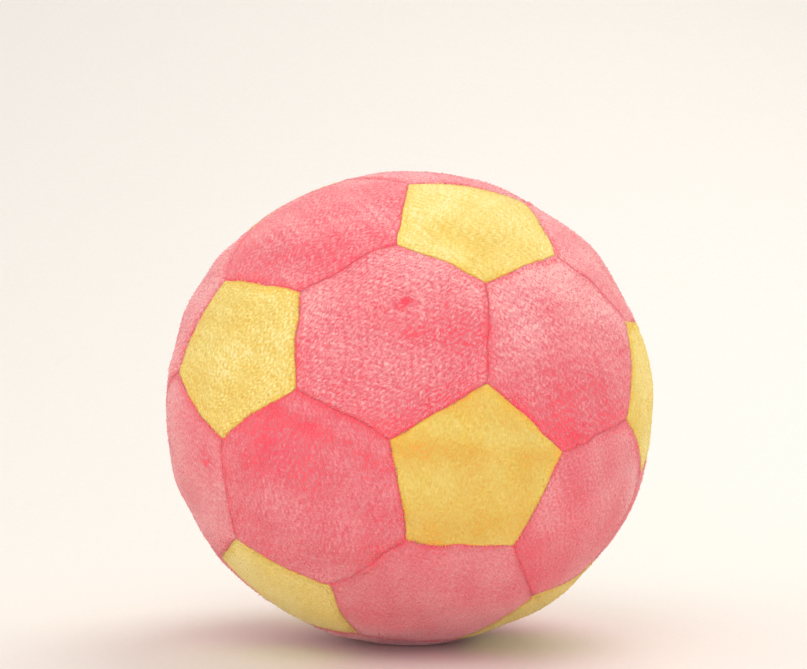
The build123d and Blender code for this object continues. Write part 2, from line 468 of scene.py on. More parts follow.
def new_material(name):
    """An empty node material: its node tree and its shader."""
    material = bpy.data.materials.new(name)
    material.use_nodes = True
    tree = material.node_tree
    shader = tree.nodes["Principled BSDF"]
    return material, tree, shader


def ramp(tree, source, stops):
    """A colour ramp with these (place, colour) stops, driven by a number."""
    node = tree.nodes.new("ShaderNodeValToRGB")
    while len(node.color_ramp.elements) < len(stops):
        node.color_ramp.elements.new(0.5)
    for element, (place, colour) in zip(node.color_ramp.elements, stops):
        element.position = place
        element.color = colour
    tree.links.new(source, node.inputs["Fac"])
    return node.outputs["Color"]


def worked(tree, operation, one, two):
    """A number worked out from two others, each a socket or a plain number."""
    node = tree.nodes.new("ShaderNodeMath")
    node.operation = operation
    for socket, value in zip(node.inputs, (one, two)):
        if isinstance(value, (int, float)):
            socket.default_value = value
        else:
            tree.links.new(value, socket)
    return node.outputs[0]


def weighed(tree, base, *terms):
    """A plain number and others added up, each of those times its weight."""
    total = base
    for value, weight in terms:
        total = worked(tree, "ADD", worked(tree, "MULTIPLY", value, weight), total)
    return total


def blended(tree, share, one, two):
    """Two colours blended, each a socket or a plain colour."""
    node = tree.nodes.new("ShaderNodeMix")
    node.data_type = "RGBA"
    for socket, value in zip((node.inputs[0], node.inputs[6], node.inputs[7]), (share, one, two)):
        if isinstance(value, (int, float, tuple)):
            socket.default_value = value
        else:
            tree.links.new(value, socket)
    return node.outputs[2]


def seen_noise(tree, vector, scale, detail, distortion=0.0):
    """A noise over the lookup square, with one scale along the nap and one across it."""
    stretch = tree.nodes.new("ShaderNodeMapping")
    stretch.inputs["Scale"].default_value = scale + (1.0,)
    tree.links.new(vector, stretch.inputs["Vector"])
    noise = tree.nodes.new("ShaderNodeTexNoise")
    noise.inputs["Scale"].default_value = 1.0
    noise.inputs["Detail"].default_value = detail
    noise.inputs["Distortion"].default_value = distortion
    tree.links.new(stretch.outputs["Vector"], noise.inputs["Vector"])
    return noise.outputs["Fac"]


def object_noise(tree, scale, detail, distortion=0.0):
    """A noise in the object's own space."""
    place = tree.nodes.new("ShaderNodeTexCoord")
    noise = tree.nodes.new("ShaderNodeTexNoise")
    noise.inputs["Scale"].default_value = scale
    noise.inputs["Detail"].default_value = detail
    noise.inputs["Distortion"].default_value = distortion
    tree.links.new(place.outputs["Object"], noise.inputs["Vector"])
    return noise.outputs["Fac"]


def bumped(tree, shader, height, strength, distance):
    """Give the shader a bump from this height, so many metres deep."""
    bump = tree.nodes.new("ShaderNodeBump")
    bump.inputs["Strength"].default_value = strength
    bump.inputs["Distance"].default_value = distance
    tree.links.new(height, bump.inputs["Height"])
    tree.links.new(bump.outputs["Normal"], shader.inputs["Normal"])


def plush(name, deep, middle, pale, worn_and_lit, reverse, sheen, bleed):
    """Short pile: painted shade in deep colour between its clumps and painted light in pale colour on them,
    with fine fibres along the nap.
    """
    material, tree, shader = new_material(name)
    uv = tree.nodes.new("ShaderNodeUVMap")
    uv.uv_map = "OFBake"
    square = uv.outputs["UV"]
    split = tree.nodes.new("ShaderNodeSeparateXYZ")
    tree.links.new(square, split.inputs[0])
    u = split.outputs["X"]
    v = split.outputs["Y"]
    pile = tree.nodes.new("ShaderNodeAttribute")
    pile.attribute_name = "pile"
    fibre = seen_noise(tree, square, (60.0, 230.0), 3.0, 0.4)
    patch = seen_noise(tree, square, (7.0, 9.0), 2.0)
    # The pile mark carries painted light and shade as well as the pile's own grain and patches
    lie = weighed(tree, 0.15, (pile.outputs["Fac"], 0.27), (fibre, 0.7))
    # Its palest colour is that of worn pile, and also of painted light where the pile mark is raised by it
    surface = ramp(tree, lie, [(0.0, reverse), (0.2, deep), (0.5, middle), (0.85, pale), (1.0, worn_and_lit)])
    mottled = blended(tree, worked(tree, "MULTIPLY", patch, 0.3), surface, worn_and_lit)
    # Painted shade at each standing fibre's root and painted light towards its tip, varied from fibre to
    # fibre
    length = worked(tree, "DIVIDE", worked(tree, "SUBTRACT", v, FIBRE_BAND_LOW), FIBRE_BAND_WIDTH)
    fibre_tone = weighed(tree, 0.0, (length, 0.4), (u, 0.6))
    standing = ramp(tree, fibre_tone, [(0.1, deep), (0.5, middle), (0.85, pale)])
    is_fibre = worked(tree, "GREATER_THAN", v, FIBRES_ABOVE)
    is_reverse = worked(tree, "LESS_THAN", worked(tree, "ADD", u, v), REVERSE_BELOW)
    fronted = blended(tree, is_fibre, mottled, standing)
    knit = seen_noise(tree, square, (420.0, 420.0), 2.0)
    knitted = ramp(tree, knit, [(0.3, reverse), (0.7, middle)])
    tree.links.new(blended(tree, is_reverse, fronted, knitted), shader.inputs["Base Color"])
    tree.links.new(weighed(tree, 0.6, (fibre, 0.3)), shader.inputs["Roughness"])
    bumped(tree, shader, fibre, 0.35, 0.0002)
    shader.inputs["Specular IOR Level"].default_value = 0.2
    shader.subsurface_method = "BURLEY"
    shader.inputs["Subsurface Weight"].default_value = 0.55
    shader.inputs["Subsurface Radius"].default_value = bleed
    shader.inputs["Subsurface Scale"].default_value = BLEED
    shader.inputs["Sheen Weight"].default_value = 1.0
    shader.inputs["Sheen Roughness"].default_value = 0.35
    shader.inputs["Sheen Tint"].default_value = sheen
    return material


def thread_material(name, pale, deep, turns):
    """Spun thread: two plies that wind round each other, with fine fuzz."""
    material, tree, shader = new_material(name)
    place = tree.nodes.new("ShaderNodeTexCoord")
    plies = tree.nodes.new("ShaderNodeTexWave")
    plies.bands_direction = "DIAGONAL"
    plies.inputs["Scale"].default_value = turns
    plies.inputs["Distortion"].default_value = 1.5
    plies.inputs["Detail"].default_value = 2.0
    tree.links.new(place.outputs["Object"], plies.inputs["Vector"])
    fuzz = object_noise(tree, turns * 9, 4.0)
    mixed = weighed(tree, 0.0, (plies.outputs["Fac"], 0.7), (fuzz, 0.3))
    tree.links.new(ramp(tree, mixed, [(0.15, deep), (0.75, pale)]), shader.inputs["Base Color"])
    tree.links.new(weighed(tree, 0.4, (fuzz, 0.3)), shader.inputs["Roughness"])
    bumped(tree, shader, mixed, 0.6, 0.0002)
    shader.inputs["Sheen Weight"].default_value = 0.2
    return material


def stuffing_material():
    """White polyester fibre in soft matted lumps."""
    material, tree, shader = new_material("fibrefill")
    strands = object_noise(tree, 260.0, 6.0, 2.5)
    lumps = object_noise(tree, 45.0, 3.0)
    mixed = weighed(tree, 0.0, (strands, 0.6), (lumps, 0.4))
    colours = [(0.3, linear(196, 192, 184)), (0.5, linear(232, 230, 224)), (0.7, linear(250, 249, 246))]
    tree.links.new(ramp(tree, mixed, colours), shader.inputs["Base Color"])
    tree.links.new(weighed(tree, 0.6, (strands, 0.3)), shader.inputs["Roughness"])
    bumped(tree, shader, mixed, 0.7, 0.0006)
    shader.inputs["Sheen Weight"].default_value = 0.5
    return material


pile_materials = {
    "yellow_plush": plush(
        "yellow_plush",
        deep=linear(226, 176, 60),
        middle=linear(229, 199, 93),
        pale=linear(240, 220, 130),
        worn_and_lit=linear(246, 232, 164),
        reverse=linear(244, 160, 44),
        sheen=(1.0, 0.9, 0.5, 1.0),
        bleed=(1.0, 0.6, 0.15),
    ),
    "pink_plush": plush(
        "pink_plush",
        deep=linear(226, 82, 100),
        middle=linear(231, 121, 131),
        pale=linear(239, 160, 163),
        worn_and_lit=linear(245, 186, 183),
        reverse=linear(250, 48, 80),
        sheen=(1.0, 0.76, 0.74, 1.0),
        bleed=(1.0, 0.25, 0.25),
    ),
}


# ---- the panels: fabric with its pile, and its edges turned in ----
ROWS = {5: 60, 6: 72}  # from the middle of a panel to its seams, by its number of sides
COARSENING = 4  # the turned-in edges are divided this much more coarsely
EDGE_CROWDING = 1.25  # rows are closer together towards the seams

RELIEF_ALONG = 1.6  # the length of the pile's clumps along the nap, and across it
RELIEF_ACROSS = 1.1
RELIEF_DEPTH = 0.09
RELIEF_BEND = 0.35  # how far the swirls push the clumps out of line
RELIEF_SHARE = 0.65  # the share of the coarse clumps in it, and of the fine ones
FINER = 1.5  # the fine clumps are this many times as small
CALM_WIDTH = 1.5  # beside a seam the clumps are flatter, down to this share
CALM_SHARE = 0.35
LUMP_HEIGHT = 0.5  # how far the stuffing's lumps show, fading towards the seams over this distance
LUMP_FADE = 5.0

FLAP_LEVELS = (0.35, 0.7, 1.0)  # rings down a turned-in edge, as shares of its depth
FLAP_INSET = 0.1 + ALLOWANCE
NOTCH_FLOOR = 94.3  # a corner's notch leaves the edges this far from the ball's middle
THIN = 0.1  # the least that a turned-in edge keeps there
INNER_RINGS = (2.3, 4.6, 9.0, 15.0, 21.5)  # rings over the reverse, as distances from the seams
INNER_CLEARANCE = 2.5  # the last ring stays this far from the panel's middle

# Which way the pile of each panel that the photograph shows lies, as (right, away, up)
NAPS = {
    "hexagon_panel_01": (0.5, 0.0, -0.85),
    "hexagon_panel_02": (-0.4, 0.0, -0.9),
    "hexagon_panel_03": (-0.5, 0.0, -0.85),
    "hexagon_panel_04": (0.15, 0.0, -1.0),
    "hexagon_panel_05": (0.4, 0.0, -0.9),
    "hexagon_panel_06": (0.6, 0.0, -0.8),
    "hexagon_panel_09": (0.75, 0.0, 0.55),
    "hexagon_panel_11": (-0.2, 0.0, -1.0),
    "hexagon_panel_12": (-0.6, 0.0, -0.8),
    "pentagon_panel_01": (-0.1, 0.0, -1.0),
    "pentagon_panel_02": (-0.4, 0.0, -0.9),
    "pentagon_panel_03": (0.8, 0.0, 0.5),
    "pentagon_panel_04": (-0.8, 0.0, -0.5),
    "pentagon_panel_05": (-0.5, 0.0, -0.8),
}

# Painted light and shade: pile that lies towards the light is painted paler, and pile that lies away from it
# deeper
PANEL_PAINTED_LIGHT = {
    "hexagon_panel_01": 0.2,
    "hexagon_panel_02": -0.2,
    "hexagon_panel_03": 0.0,
    "hexagon_panel_04": -0.6,
    "hexagon_panel_06": 1.0,
    "hexagon_panel_09": -0.4,
    "hexagon_panel_10": 0.5,
    "hexagon_panel_11": 0.4,
    "hexagon_panel_12": 1.1,
    "pentagon_panel_01": -0.35,
    "pentagon_panel_02": 0.5,
    "pentagon_panel_03": 0.9,
    "pentagon_panel_04": 0.5,
    "pentagon_panel_05": 0.9,
    "pentagon_panel_06": 0.4,
}

# Painted light: how much paler the pile is painted from a panel's middle to the reach above it, in
# millimetres
PAINTED_LIGHT_SLOPE_REACH = 20.0
PAINTED_LIGHT_SLOPES = {
    "hexagon_panel_01": 0.9,
    "hexagon_panel_02": 0.4,
    "hexagon_panel_03": 0.5,
    "hexagon_panel_04": -0.3,
    "hexagon_panel_06": 0.6,
}

# Where the pile lies flat and smooth, how much of its grain still shows
GRAIN_SHARES = {
    "hexagon_panel_01": 0.85,
    "hexagon_panel_02": 0.6,
    "hexagon_panel_04": 0.65,
    "hexagon_panel_05": 0.5,
    "hexagon_panel_11": 0.6,
    "pentagon_panel_01": 0.4,
    "pentagon_panel_02": 0.5,
    "pentagon_panel_03": 0.7,
    "pentagon_panel_05": 0.4,
    "pentagon_panel_06": 0.5,
}

# Soft folds in the fabric: from which corner to which, how far above that line, how high, how wide
# Painted light above each fold and painted shade below it, by this much
FOLD_PAINTED_LIGHT = 1.1
FOLDS = {
    "pentagon_panel_01": ((1, 4), (1, 2), 2.0, 1.4, 6.0),
    "hexagon_panel_04": ((4, 1), (1, 4), -8.0, 0.9, 4.5),
    "hexagon_panel_03": ((4, 1), (1, 3), -14.0, 0.5, 8.0),
}

# Places where the pile has parted: a dent, with a deeper colour that is partly the fabric's own and partly
# painted shade; where, as (right, away, up), and how wide
PARTING_DEPTH = 0.3
PARTING_TONE = 3.2
PARTINGS = [
    ((0.024, -0.955, 0.297), 3.4),
    ((-0.01, -0.913, 0.408), 2.4),
    ((-0.775, -0.6, -0.19), 3.0),
]

SEAM_LINE = {"yellow_plush": 0.4, "pink_plush": 0.6}  # how far from a seam its deeper colour reaches: partly the fabric's own deeper colour, partly painted shade in the seam
SEAM_LINE_UNEVENNESS = 0.5
SEAM_LINE_TONE = 3.0
PATCH_TONE = 0.3
PAINTED_TOP_LIGHT = 0.9  # painted light: the pile is painted palest on top of the ball
PAINTED_TOP_LIGHT_ABOVE = 0.72  # as a share of the way up from its middle

drift = Waves(SEED, 45.0)
swirl = Waves(SEED + 1, 14.0)
clump = Waves(SEED + 2, 5.0)
patches = Waves(SEED + 5, 26.0)


def parting(ways):
    """How far the pile has parted in these directions, from 0 to 1, unevenly."""
    open_share = np.zeros(len(ways))
    for way, width in PARTINGS:
        apart = np.linalg.norm(ways - unit(np.array(way)), axis=1) * RADIUS / width
        open_share = np.maximum(open_share, np.exp(-apart**2))
    return open_share * np.clip(0.7 + 0.6 * clump(ways * RADIUS * 1.6), 0, 1)


class Cloth:
    """A panel's fabric: which way its pile lies, and how high and how pale it is at any place."""

    def __init__(self, panel, number):
        self.panel = panel
        self.random = np.random.default_rng(SEED * 1000 + number)
        nap = np.array(NAPS.get(panel.name, self.random.normal(size=3)))
        self.along = unit(nap - panel.axis * (nap @ panel.axis))
        self.across = np.cross(panel.axis, self.along)
        self.grain = Waves(SEED + 50 + number, 1.0, 48)
        self.fine = Waves(SEED + 150 + number, 1.0, 48)
        self.tone = PANEL_PAINTED_LIGHT.get(panel.name, 0.0)
        self.grain_share = GRAIN_SHARES.get(panel.name, 1.0)

    def flat(self, ways):
        """Places laid flat without changing their areas: millimetres along the nap, and across it."""
        rise = np.clip(ways @ self.panel.axis, -1, 1)
        scale = RADIUS * np.sqrt(2 / (1 + rise))
        return np.stack([ways @ self.along * scale, ways @ self.across * scale], axis=1)

    def relief(self, ways):
        """How the pile clumps, from about -2 to 2."""
        x, y = self.flat(ways).T
        bend = RELIEF_BEND * swirl(ways * RADIUS)
        bent = [(x + bend) / RELIEF_ALONG, (y + bend) / RELIEF_ACROSS, 0 * x]
        finer = [x / RELIEF_ALONG * FINER, y / RELIEF_ACROSS * FINER, 0 * x]
        coarse = self.grain(np.stack(bent, axis=1))
        fine = self.fine(np.stack(finer, axis=1))
        return self.grain_share * (RELIEF_SHARE * coarse + RELIEF_SHARE * fine)

    def top(self, ways, nearest):
        """How far the pile's surface is from the middle of the ball."""
        calm = np.clip(nearest / CALM_WIDTH, CALM_SHARE, 1)
        away = 1 - np.exp(-nearest / LUMP_FADE)
        pushed_out = LUMP_HEIGHT * stuffing_lumps(ways * RADIUS) + self.fold(ways)
        full = backing_radius(ways) + PILE_HEIGHT + away * pushed_out
        dip = pile_dip(self.panel, ways, nearest) + PARTING_DEPTH * parting(ways)
        return full - dip + RELIEF_DEPTH * calm * self.relief(ways)

    def beside_fold(self, ways):
        """How far places are above the panel's soft fold, in widths of that fold."""
        first, last, offset, _, width = FOLDS[self.panel.name]
        square = unit(np.cross(corners[first], corners[last]))
        square = square * (1.0 if square[2] > 0 else -1.0)
        return (ways @ square * RADIUS - offset) / width

    def fold(self, ways):
        """How far the fabric stands up along its soft fold, if it has one."""
        if self.panel.name not in FOLDS:
            return 0.0
        return FOLDS[self.panel.name][3] * np.exp(-self.beside_fold(ways) ** 2)

    def fold_painted_light(self, ways):
        """Painted light above a fold, where the pile is painted paler, and painted shade below it, where it
        is painted deeper.
        """
        if self.panel.name not in FOLDS:
            return 0.0
        above = self.beside_fold(ways)
        return FOLD_PAINTED_LIGHT * above * np.exp(-(above**2))

    def paleness(self, ways, nearest):
        """How pale the pile is painted: its grain, with painted light on its clumps and painted shade
        between them; its random patches; painted light and shade by panel, by slope, on top and about folds;
        and deeper colour with painted shade in partings and seam lines.
        """
        panel = self.panel
        line = SEAM_LINE[panel.slot] * (1 + SEAM_LINE_UNEVENNESS * np.tanh(seam_unevenness(ways * RADIUS)))
        # Deeper along seams and in partings: partly the fabric's own deeper colour, partly painted shade
        deep = SEAM_LINE_TONE * np.exp(-nearest / line) + PARTING_TONE * parting(ways)
        # Painted light: paler up each sloping panel
        slope = PAINTED_LIGHT_SLOPES.get(panel.name, 0.0) * (ways[:, 2] - panel.axis[2]) * RADIUS / PAINTED_LIGHT_SLOPE_REACH
        # Painted light on top of the ball
        top = np.clip((ways[:, 2] - PAINTED_TOP_LIGHT_ABOVE) / (1 - PAINTED_TOP_LIGHT_ABOVE), 0, 1)
        tone = self.tone + PATCH_TONE * patches(ways * RADIUS) + slope + PAINTED_TOP_LIGHT * top
        # The clumps' relief is painted in: painted light on top of them and painted shade between them
        return self.relief(ways) + tone + self.fold_painted_light(ways) - deep


def lookup(flat):
    """Where a laid-flat place is in the lookup square."""
    return flat / LOOKUP_SPAN + LOOKUP_MIDDLE


def add_surface(parts, cloth):
    """The pile's surface, in rows from the panel's middle to its seams. Returns its outermost row."""
    panel = cloth.panel
    rows = ROWS[len(panel.corners)]
    edge = panel.inset(SEAM_GAP / 2)
    sides = len(edge)
    ways = [panel.axis[None]]
    starts = [0]
    for i in range(1, rows + 1):
        out = 1 - (1 - i / rows) ** EDGE_CROWDING
        starts.append(sum(len(w) for w in ways))
        share = np.arange(i)[:, None] / i
        ring = [edge[k] * (1 - share) + edge[(k + 1) % sides] * share for k in range(sides)]
        middle = panel.axis * (panel.axis @ edge[0])
        ways.append(unit(middle * (1 - out) + np.concatenate(ring) * out))
    faces = []
    for i in range(1, rows + 1):
        outer = np.arange(i)
        inner = np.arange(i - 1)
        for k in range(sides):
            a = starts[i] + (k * i + outer)
            b = starts[i] + (k * i + outer + 1) % (sides * i)
            c = starts[i - 1] + ((k * (i - 1) + outer) % (sides * (i - 1)) if i > 1 else 0 * outer)
            faces.append(np.stack([a, b, c], axis=1))
            if i > 1:
                d = starts[i] + k * i + inner + 1
                e = starts[i - 1] + (k * (i - 1) + inner + 1) % (sides * (i - 1))
                f = starts[i - 1] + k * (i - 1) + inner
                faces.append(np.stack([d, e, f], axis=1))
    ways = np.concatenate(ways)
    nearest = panel.seam_distances(ways * RADIUS * SEAM_SHARE).min(axis=1)
    places = lookup(cloth.flat(ways))
    faces = np.concatenate(faces)
    points = ways * cloth.top(ways, nearest)[:, None]
    parts.add_points(points, cloth.paleness(ways, nearest))
    parts.add_faces(faces, places[faces])
    return starts[-1], points[starts[-1]:]


def add_turned_in(parts, panel, first, rim):
    """The rest of the fabric: its edges, turned in and notched at the corners, and its reverse."""
    sides = len(panel.corners)
    rows = ROWS[sides]
    count = rows // COARSENING
    share = np.arange(count)[:, None] / count

    def ring_ways(inset):
        """The directions of a ring this far in from the seams."""
        turned_in = panel.inset(inset)
        ring = [turned_in[k] * (1 - share) + turned_in[(k + 1) % sides] * share for k in range(sides)]
        return unit(np.concatenate(ring))

    outside = ring_ways(SEAM_GAP / 2)
    inside = ring_ways(FLAP_INSET)
    edge = np.linalg.norm(rim[::COARSENING], axis=1)
    to_corner = np.linalg.norm(outside[:, None] - unit(panel.corners)[None], axis=2).min(axis=1) * RADIUS
    notched = to_corner < NOTCH_RADIUS
    floor = np.where(notched, np.minimum(edge - THIN, NOTCH_FLOOR), panel.allowance_end)
    ceiling = backing_radius(inside) - roll_drop(FLAP_INSET) - BACKING
    inner_floor = np.where(notched, ceiling - THIN, floor)
    rings = [outside * (edge * (1 - u) + floor * u)[:, None] for u in FLAP_LEVELS]
    upward = reversed((0.0,) + FLAP_LEVELS)
    rings += [inside * (ceiling * (1 - u) + inner_floor * u)[:, None] for u in upward]
    reach = panel.seam_distances(panel.axis[None] * RADIUS).min() - INNER_CLEARANCE
    for inset in [r for r in INNER_RINGS if r < reach]:
        ways = ring_ways(inset)
        rings.append(ways * (backing_radius(ways) - roll_drop(inset) - BACKING)[:, None])
    rings.append(panel.axis[None] * (backing_radius(panel.axis[None])[0] - BACKING))
    points = np.concatenate(rings)
    base = parts.add_points(points)
    places = REVERSE_SPOT + REVERSE_SPREAD * np.sin(points @ REVERSE_WAVES)
    around = sides * count
    here = np.arange(around)
    after = np.roll(here, -1)
    fine = first + (COARSENING * here[:, None] + np.arange(COARSENING, -1, -1)) % (sides * rows)
    stitched = np.concatenate([base + here[:, None], base + after[:, None], fine], axis=1)
    parts.add_faces(stitched, np.full((stitched.size, 2), REVERSE_SPOT))
    faces = []
    last = (len(rings) - 2) * around
    for low in range(0, last, around):
        high = low + around
        faces.append(np.stack([low + here, high + here, high + after, low + after], axis=1))
    faces = np.concatenate(faces)
    fan = np.stack([np.full(around, last + around), last + after, last + here], axis=1)
    parts.add_faces(base + faces, places[faces])
    parts.add_faces(base + fan, places[fan])


# ---- the fibres that stand out of the pile, in millimetres and degrees ----
FIBRE_SPACING = 0.92
FIBRE_JITTER = 0.48
FIBRE_LENGTH = 1.25
FIBRE_WIDTH = 0.28
FIBRE_SPREAD = 0.2  # their lengths and widths differ by about this share
FIBRE_LEAN = 78.0
FIBRE_LEAN_SPREAD = 6.0
FIBRE_LEAN_BY_RELIEF = 3.0  # those on top of a clump lean less
FIBRE_TURNS = (9.0, 7.0, 5.0, 11.0)  # with the drift, with the swirl, with the clumps, and each by itself
FIBRE_ROOT_DEPTH = 0.35
FIBRE_CURL = (-16.0, 26.0)  # a fibre's extra lean at its root, and how much that grows by its tip
SECTIONS = (0.0, 0.5)  # a fibre has three points round it at these shares of its length, then a tip
SECTION_WIDTHS = (0.8, 1.0)
SECTION_SIDE = 0.006  # how far a fibre's two sides are from its middle in the lookup square
SEAM_CLEARANCE = 0.15  # no fibre is rooted closer to a seam than this
SEAM_FIBRES = 2.0  # in a band beside the seams there are this many times as many fibres on top
SEAM_FIBRE_BAND = 2.6
SEAM_TILT = 20.0  # the pile tips over the seams by up to this much, from this far away
SEAM_TILT_WIDTH = 3.0
SEAM_LIE_WIDTH = 0.8  # within about this distance it also lies across them, by these shares
SEAM_LIE_ALONG = 0.5
SEAM_LIE_ACROSS = 0.7
SEAM_LONGER = 0.2


def fibre_roots(cloth):
    """Where the standing fibres are: a jittered knitted grid, with more beside the seams."""
    panel = cloth.panel
    reach = max(np.arccos(np.clip(unit(panel.corners) @ panel.axis, -1, 1))) * RADIUS + 1
    found = []
    for spacing, band in ((FIBRE_SPACING, np.inf), (FIBRE_SPACING / SEAM_FIBRES**0.5, SEAM_FIBRE_BAND)):
        count = int(2 * reach / spacing)
        i, j = np.meshgrid(np.arange(-count, count + 1), np.arange(-count, count + 1))
        flat = np.stack([(i + (j % 2) * 0.5).ravel(), 0.866 * j.ravel()], axis=1) * spacing
        flat = flat + cloth.random.uniform(-FIBRE_JITTER, FIBRE_JITTER, flat.shape) * spacing
        far = np.hypot(flat[:, 0], flat[:, 1])
        flat = flat[far < reach]
        far = far[far < reach]
        angle = 2 * np.arcsin(far / RADIUS / 2)
        spread = flat / np.maximum(far, 1e-9)[:, None] * np.sin(angle)[:, None]
        sideways = spread[:, :1] * cloth.along + spread[:, 1:] * cloth.across
        ways = np.cos(angle)[:, None] * panel.axis + sideways
        nearest = panel.seam_distances(ways * RADIUS * SEAM_SHARE).min(axis=1)
        found.append(ways[(nearest > SEAM_CLEARANCE) & (nearest < band)])
    return np.concatenate(found)


def add_fibres(parts, cloth):
    """The fibres that stand a little out of the pile, leaning along its nap and over its seams."""
    panel = cloth.panel
    random = cloth.random
    ways = fibre_roots(cloth)
    total = len(ways)
    distances = panel.seam_distances(ways * RADIUS * SEAM_SHARE)
    nearest = distances.min(axis=1)
    relief = cloth.relief(ways)
    roots = ways * (cloth.top(ways, nearest) - FIBRE_ROOT_DEPTH)[:, None]

    # Which way each fibre faces: out of the cover, along the nap, or across a seam beside it
    over_seam = np.clip(1 - distances / SEAM_TILT_WIDTH, 0, 1) ** 1.3
    tilt = np.tan(np.radians(SEAM_TILT) * over_seam)
    normal = unit(ways * (1, 1, 1 / HEIGHT_SHARE**2) - tilt @ panel.sides)
    ways_to_turn = (drift(roots), swirl(roots), clump(roots), random.normal(size=total))
    turn = np.radians(sum(most * way for most, way in zip(FIBRE_TURNS, ways_to_turn)))
    beside = np.exp(-nearest / SEAM_LIE_WIDTH)[:, None]
    outward = -panel.sides[distances.argmin(axis=1)]
    wish = cloth.along * (1 - SEAM_LIE_ALONG * beside) + outward * (SEAM_LIE_ACROSS * beside)
    flat_way = unit(wish - normal * (normal * wish).sum(axis=1, keepdims=True))
    side_way = np.cross(normal, flat_way)
    lie = flat_way * np.cos(turn)[:, None] + side_way * np.sin(turn)[:, None]
    breadth = np.cross(normal, lie)
    lean = np.radians(
        FIBRE_LEAN + FIBRE_LEAN_SPREAD * random.normal(size=total) - FIBRE_LEAN_BY_RELIEF * relief
    )
    uneven_length = np.clip(1 + FIBRE_SPREAD * random.normal(size=total), 0.5, 1.6)
    length = FIBRE_LENGTH * uneven_length * (1 + SEAM_LONGER * beside[:, 0])
    width = FIBRE_WIDTH * (1 + FIBRE_SPREAD * random.normal(size=total))

    # Its points: three round each section, then the tip
    points = np.empty((total, 7, 3))
    place = roots.copy()
    steps = np.diff(SECTIONS + (1.0,))
    for k, u in enumerate(SECTIONS):
        angle = (lean + np.radians(FIBRE_CURL[0] + FIBRE_CURL[1] * u))[:, None]
        forward = normal * np.cos(angle) + lie * np.sin(angle)
        ridge = normal * np.sin(angle) - lie * np.cos(angle)
        half = (width * SECTION_WIDTHS[k] / 2)[:, None] * breadth
        rise = (width * SECTION_WIDTHS[k] * 0.6)[:, None] * ridge
        points[:, 3 * k] = place - half - rise * 0.35
        points[:, 3 * k + 1] = place + half - rise * 0.35
        points[:, 3 * k + 2] = place + rise * 0.65
        place = place + forward * (length * steps[k])[:, None]
    points[:, 6] = place
    quads = np.array([(a, b, b + 3, a + 3) for a, b in ((0, 1), (1, 2), (2, 0))])
    ends = np.array([(3, 4, 6), (4, 5, 6), (5, 3, 6), (1, 0, 2)])

    # Its colour: where it is across the fibres' band of the lookup square
    # Painted light and shade in the fibres' colour: paler on clumps and on panels painted paler, deeper
    # beside the seams, and random besides
    kind = 0.5 + 0.1 * relief + 0.12 * cloth.tone - 0.25 * np.exp(-nearest / 1.0)
    kind = kind + 0.09 * cloth.grain_share * random.normal(size=total)
    kind = np.clip(kind, 0.03, 0.97)
    along = np.repeat(SECTIONS + (1.0,), (3, 3, 1)) * FIBRE_BAND_WIDTH + FIBRE_BAND_LOW
    aside = np.array([-SECTION_SIDE, SECTION_SIDE, 0.0] * 2 + [0.0])
    base = parts.add_points(points.reshape(-1, 3))
    for shapes in (quads, ends):
        faces = (shapes[None] + np.arange(total)[:, None, None] * 7).reshape(-1, shapes.shape[1])
        u = kind[:, None, None] + aside[shapes][None]
        v = np.broadcast_to(along[shapes], u.shape)
        parts.add_faces(base + faces, np.stack([u, v], axis=3))


for number, panel in enumerate(panels, 1):
    parts = Parts()
    cloth = Cloth(panel, number)
    first, rim = add_surface(parts, cloth)
    add_turned_in(parts, panel, first, rim)
    add_fibres(parts, cloth)
    piece = parts.piece(panel.name + ".plush", pile_materials[panel.slot])
    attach(piece, "root")
    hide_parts(panel.name)


# ---- the stuffing, in millimetres ----
STUFFING_LEVEL = 0.93  # where the stuffing meets the turned-in edges, as a share of the radius
STUFFING_LUMPS = ((90, 16.0, 0.45), (91, 4.5, 0.22))  # seed, size and depth of its lumps, then matting
LUMP_SCALE = 90  # the radius at which their pattern is taken
BULGE_WIDTH = 3.0  # it bulges up between the turned-in edges over this width
CORE_CLEARANCE = 0.2
HOLLOW_MARGIN = 1.5  # the hollow that the knot lies in is this much wider than the knot
HOLLOW_RIM = 2.0
HOLLOW_DEPTH = 5.5


